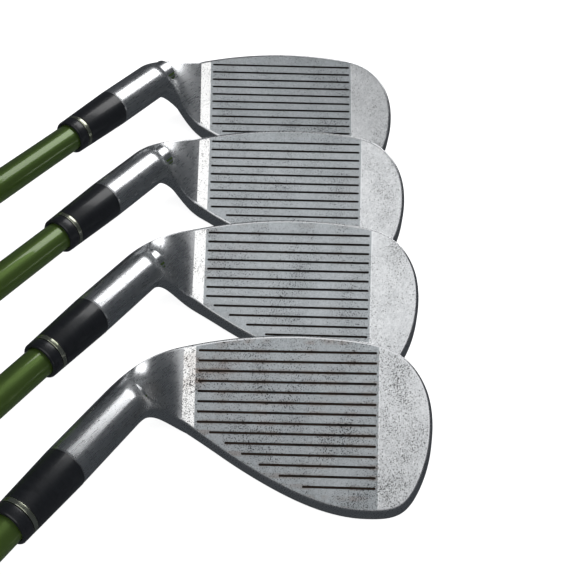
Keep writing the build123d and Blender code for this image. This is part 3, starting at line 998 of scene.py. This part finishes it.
def heel_loop(work, club):
    """The open loop at the heel, in order from the foot of the face up the heel line."""
    rim = [edge for edge in work.edges if edge.is_boundary]
    wide = [edge for edge in rim if edge.calc_length() > 2 * NECK_SPACING]
    for edge in wide:
        bmesh.ops.subdivide_edges(work, edges=[edge], cuts=int(edge.calc_length() / NECK_SPACING))
    rim = {vert for edge in work.edges if edge.is_boundary for vert in edge.verts}
    foot = Vector((-HEEL_BAND, sole_height(-HEEL_BAND), 0))
    here = min(rim, key=lambda vert: (vert.co - foot).length)
    loop = [here]
    while len(loop) < len(rim):
        beside = [edge.other_vert(here) for edge in here.link_edges if edge.is_boundary]
        beside = [vert for vert in beside if vert not in loop]
        # Of the foot's two neighbours, the one on the face goes first.
        here = min(beside, key=lambda vert: vert.co.z) if len(loop) == 1 else beside[0]
        loop.append(here)
    return loop


def loop_angles(loop, corners):
    """Spread the loop round the hosel, a quarter turn for each of its four sides."""
    marks = [min(range(len(loop)), key=lambda at: (loop[at].co - corner).length) for corner in corners]
    marks = marks[1:] + [len(loop)]
    ways = [0.0]
    for here, after in zip(loop, loop[1:] + loop[:1]):
        ways.append(ways[-1] + (after.co - here.co).length)
    stops = [0.0] + [ways[mark] for mark in marks]
    return list(np.interp(ways[:-1], stops, CORNER_ANGLES))


print("the neck grows in", NECK_RINGS, "rings")


# %% Make the neck and the hosel
def leaving_slope(angle):
    """The neck leaves along the sole at its foot and along the topline at its top."""
    sole_slope = (HEEL_BAND + SOLE_LOW_X) / SOLE_RADIUS
    top = np.clip((cos(radians(angle)) / cos(pi / 4) + 1) / 2, 0, 1)
    return sole_slope - (sole_slope + NECK_FALL) * top


def neck_point(start, end, leave, arrive, t):
    """A point of the smooth curve between two places with set directions."""
    reach = (end - start).length
    return between(start, end, leave * reach, arrive * reach, t)


def add_neck(work, club):
    """Grow the neck, the hosel and its bore, and return the crisp edge beside the face."""
    loop = heel_loop(work, club)
    sole = sole_direction(club)
    foot = Vector((-HEEL_BAND, sole_height(-HEEL_BAND), 0))
    top = Vector((-HEEL_BAND, club["heel_height"], 0))
    corners = [foot, top, top + sole * TOPLINE_WIDTH, foot + sole * SOLE_WIDTH]
    angles = loop_angles(loop, corners)
    length = club["hosel_length"]
    shaft = address_directions(club)[2]
    starts = [vert.co.copy() for vert in loop]
    leaves = [Vector((-1, leaving_slope(angle), -NECK_FORWARD)) for angle in angles]
    ends = [hosel_point(club, NECK_SHARE * length, angle, HOSEL_RADIUS) for angle in angles]
    crisp = [edge for edge in edges_of(work, loop) if max(vert.co.z for vert in edge.verts) < NEARLY]
    ring = loop
    for step in range(1, NECK_RINGS + 1):
        share = step / NECK_RINGS
        places = [neck_point(start, end, leave, shaft, share)
                  for start, end, leave in zip(starts, ends, leaves)]
        ring = step_ring(work, ring, places)
    hosel = ((length - RIM_CHAMFER, HOSEL_RADIUS), (length, HOSEL_RADIUS - RIM_CHAMFER),
             (length, BORE_RADIUS), (length - BORE_DEPTH, BORE_RADIUS))
    for along, radius in hosel:
        ring = step_ring(work, ring, [hosel_point(club, along, angle, radius) for angle in angles])
    work.faces.new(ring)
    return crisp


print("the neck is round at", NECK_SHARE, "of the hosel's length")

# %% [markdown]
# ## Score lines
# The lines are milled into the flat of the face. A narrow border is first inset along its
# edge, so that the rounding's shading can't creep over the flat. The inner face is then
# filled again round a loop for each line, and each loop is pushed in to make the groove.

# %% Cut the score lines
BORDER = 0.35
LINE_END_STEPS = 6
TOPLINE_SAMPLES = 160
SATIN, LINES, CAVITY = 1, 2, 3  # places in the head's list of materials; 0 is polished
FACES_FRONT = -0.99             # a normal's z below this looks the way of the shot


def line_ranges(club):
    """Height and start of each line; the upper ones start further from the heel."""
    topline = topline_curve(club, 0.0, TOPLINE_SAMPLES)
    across, up = zip(*topline)
    for index in range(club["line_count"]):
        height = FIRST_LINE_HEIGHT + index * LINE_PITCH
        start = float(np.interp(height + LINE_TO_TOPLINE, up, across))
        yield height, max(0.0, start)


def line_loop(work, start, end, height):
    """A long slot with round ends, as a loop of vertices on the face."""
    radius = LINE_WIDTH / 2
    verts = []
    for centre, turn in ((end - radius, -pi / 2), (start + radius, pi / 2)):
        for step in range(LINE_END_STEPS + 1):
            angle = turn + pi * step / LINE_END_STEPS
            place = (centre + radius * cos(angle), height + radius * sin(angle), 0)
            verts.append(work.verts.new(place))
    for pair in zip(verts, verts[1:] + verts[:1]):
        work.edges.new(pair)
    return verts


def cut_lines(work, club):
    front = [face for face in work.faces if face.normal.z < FACES_FRONT]
    flat = max(front, key=lambda face: face.calc_area())
    bmesh.ops.inset_region(work, faces=[flat], thickness=BORDER, use_even_offset=True)
    bmesh.ops.delete(work, geom=[flat], context="FACES_ONLY")
    border = [edge for edge in work.edges if edge.is_boundary]
    loops = [line_loop(work, start, LINE_LENGTH, height) for height, start in line_ranges(club)]
    rims = [edge for loop in loops for edge in edges_of(work, loop)]
    bmesh.ops.triangle_fill(work, edges=border + rims, use_beauty=True, normal=(0, 0, -1))
    for loop in loops:
        lower = step_ring(work, loop, [vert.co + Vector((0, 0, LINE_DEPTH)) for vert in loop])
        work.faces.new(lower)
        for vert in lower:
            for face in vert.link_faces:
                face.material_index = LINES


print("lines are", LINE_WIDTH, "mm wide and", LINE_DEPTH, "mm deep")

# %% [markdown]
# Each face of the head is told its finish: satin on the flat front, tumbled in the hollow and
# polished everywhere else. The plan map for the shader is written at the same time. Then the
# blade, neck and lines are put together for each of the four clubs.


# %% Make the four heads
def mark_finishes(work):
    """Give each face its finish and its place on the plan map."""
    plan = work.loops.layers.uv.new("plan")
    for face in work.faces:
        depth = [vert.co.z for vert in face.verts]
        centre = face.calc_center_median()
        if max(depth) < NEARLY and face.normal.z < FACES_FRONT and centre.x > -HEEL_BAND:
            face.material_index = SATIN
        elif min(depth) > FACE_THICKNESS - NEARLY and centre.x > 0:
            face.material_index = CAVITY
        for corner in face.loops:
            corner[plan].uv = corner.vert.co.xy / PLAN_SIZE


def make_head(name, club, head):
    work = blade(club)
    crisp = add_neck(work, club)
    cut_lines(work, club)
    bmesh.ops.recalc_face_normals(work, faces=work.faces)
    work.normal_update()
    mark_finishes(work)
    for edge in crisp:
        if edge.is_valid:
            edge.smooth = False
    open_edges = sum(not edge.is_manifold for edge in work.edges)
    print(name, "head:", len(work.faces), "faces,", open_edges, "open edges")
    materials = [polished, face_finishes[name], line_finishes[name], cavity_finish]
    place_piece(work, name, "head", head, materials)


for name, club in CLUBS.items():
    make_head(name, club, frames[name][0])

# %% [markdown]
# ## Badge
# The plate glued into the hollow is stamped from thin aluminium. Its edge is bevelled and a
# shallow panel is pressed into the middle, left plain here.

# %% Make the badges
PANEL_BORDER = 2.4
PANEL_DEPTH = 0.3
BADGE_ROUNDING, BADGE_SEGMENTS = 0.12, 2


def make_badge(name, club, head):
    work = bmesh.new()
    edge = RIM_WIDTH + BADGE_CLEARANCE
    top = FACE_THICKNESS + BADGE_THICKNESS
    rings = ((edge, FACE_THICKNESS), (edge, top), (edge + PANEL_BORDER, top),
             (edge + PANEL_BORDER + PANEL_DEPTH, top - PANEL_DEPTH))
    ring = [work.verts.new((x, y, FACE_THICKNESS)) for x, y in cavity_outline(club, edge)]
    work.faces.new(ring)
    corners = []
    for inset, height in rings[1:]:
        ring = step_ring(work, ring, [(x, y, height) for x, y in cavity_outline(club, inset)])
        corners += edges_of(work, ring)
    work.faces.new(ring)
    bmesh.ops.recalc_face_normals(work, faces=work.faces)
    round_edges(work, corners, BADGE_ROUNDING, BADGE_SEGMENTS)
    place_piece(work, name, "badge", head, [finishes["badge"]])


for name, club in CLUBS.items():
    make_badge(name, club, frames[name][0])
print("pieces in all:", len(pieces))

# %% [markdown]
# ## Floor
# The clubs lie on plain white paper. The paper glows, so that its shadows stay pale, and it is
# hidden from reflections, because bare steel over white paper would lose the dark edges that
# show its shape.

# %% Floor
FLOOR_SIZE = 6.0
FLOOR_SQUARES = 8
PAPER_GLOW = 0.88


def make_floor():
    work = bmesh.new()
    bmesh.ops.create_grid(work, x_segments=FLOOR_SQUARES, y_segments=FLOOR_SQUARES,
                          size=FLOOR_SIZE / 2)
    mesh = bpy.data.meshes.new("floor_mesh")
    work.to_mesh(mesh)
    work.free()
    floor = bpy.data.objects.new("floor", mesh)
    bpy.context.scene.collection.objects.link(floor)
    finish = Finish("floor_white", Roughness=0.9, Emission_Strength=PAPER_GLOW,
                    Emission_Color=rgb(1, 1, 1))
    paper = finish.noise(40.0, 2.0)
    colour = finish.mix(paper, rgb(0.80, 0.80, 0.80), rgb(0.84, 0.84, 0.84))
    mesh.materials.append(finish.finish(colour))
    floor.visible_glossy = False


make_floor()
print("floor", FLOOR_SIZE, "m across")

# %% [markdown]
# ## Light
# Flat steel shows whatever it faces, so each light is placed where a surface looks. The key
# softbox hangs where the hitting faces mirror it and fills them evenly. The far softbox is
# what the round hosels mirror in one long highlight. The rest of the room is dim, which gives
# polished steel its dark edges.

# %% Lights
HEADS = sum((middle(name + "_head") for name in CLUBS), Vector()) / len(CLUBS)
KEY_OFFSET, KEY_SIZE, KEY_POWER = Vector((-0.62, -0.04, 1.15)), (1.5, 1.2), 6.3
FAR_OFFSET, FAR_SIZE, FAR_POWER = Vector((0.80, 0.10, 0.84)), (0.8, 0.55), 4.4
ROOM_COLOUR = rgb(0.055, 0.06, 0.066)


def soft_light(name, offset, size, power):
    """A softbox this far from the heads, turned towards them."""
    light = bpy.data.lights.new(name, "AREA")
    light.shape = "RECTANGLE"
    light.size, light.size_y = size
    light.energy = power
    holder = bpy.data.objects.new(name, light)
    holder.location = HEADS + offset
    holder.rotation_euler = (-offset).to_track_quat("-Z", "Y").to_euler()
    bpy.context.scene.collection.objects.link(holder)


soft_light("key_softbox", KEY_OFFSET, KEY_SIZE, KEY_POWER)
soft_light("far_softbox", FAR_OFFSET, FAR_SIZE, FAR_POWER)
room = bpy.data.worlds.new("dim_room")
bpy.context.scene.world = room
room.use_nodes = True
room.node_tree.nodes["Background"].inputs["Color"].default_value = ROOM_COLOUR
bpy.context.scene.view_settings.view_transform = "Standard"
print("lights aimed at", HEADS)

# %% [markdown]
# ## Camera
# A long lens looks down at the faces from the side of the grips, rolled so that the score
# lines run nearly level and the shafts leave at the lower left. Azimuth 0 looks along +Y.

# %% Camera
CAMERA_AZIMUTH, CAMERA_ELEVATION, CAMERA_ROLL = -69.91, 45.70, 17.86
CAMERA_PLACE = Vector((0.1804, -0.1039, 0.2801))
FOCAL_LENGTH = 68.9
SENSOR_WIDTH = 36.0


def make_camera():
    data = bpy.data.cameras.new("camera")
    data.lens = FOCAL_LENGTH
    data.sensor_width = SENSOR_WIDTH
    camera = bpy.data.objects.new("camera", data)
    across, up = radians(CAMERA_AZIMUTH), radians(CAMERA_ELEVATION)
    forward = Vector((-sin(across) * cos(up), cos(across) * cos(up), -sin(up)))
    aim = forward.to_track_quat("-Z", "Y").to_matrix()
    rolled = aim @ Matrix.Rotation(radians(CAMERA_ROLL), 3, "Z")
    camera.matrix_world = Matrix.Translation(CAMERA_PLACE) @ rolled.to_4x4()
    bpy.context.scene.collection.objects.link(camera)
    bpy.context.scene.camera = camera


make_camera()
print("camera at", CAMERA_PLACE)
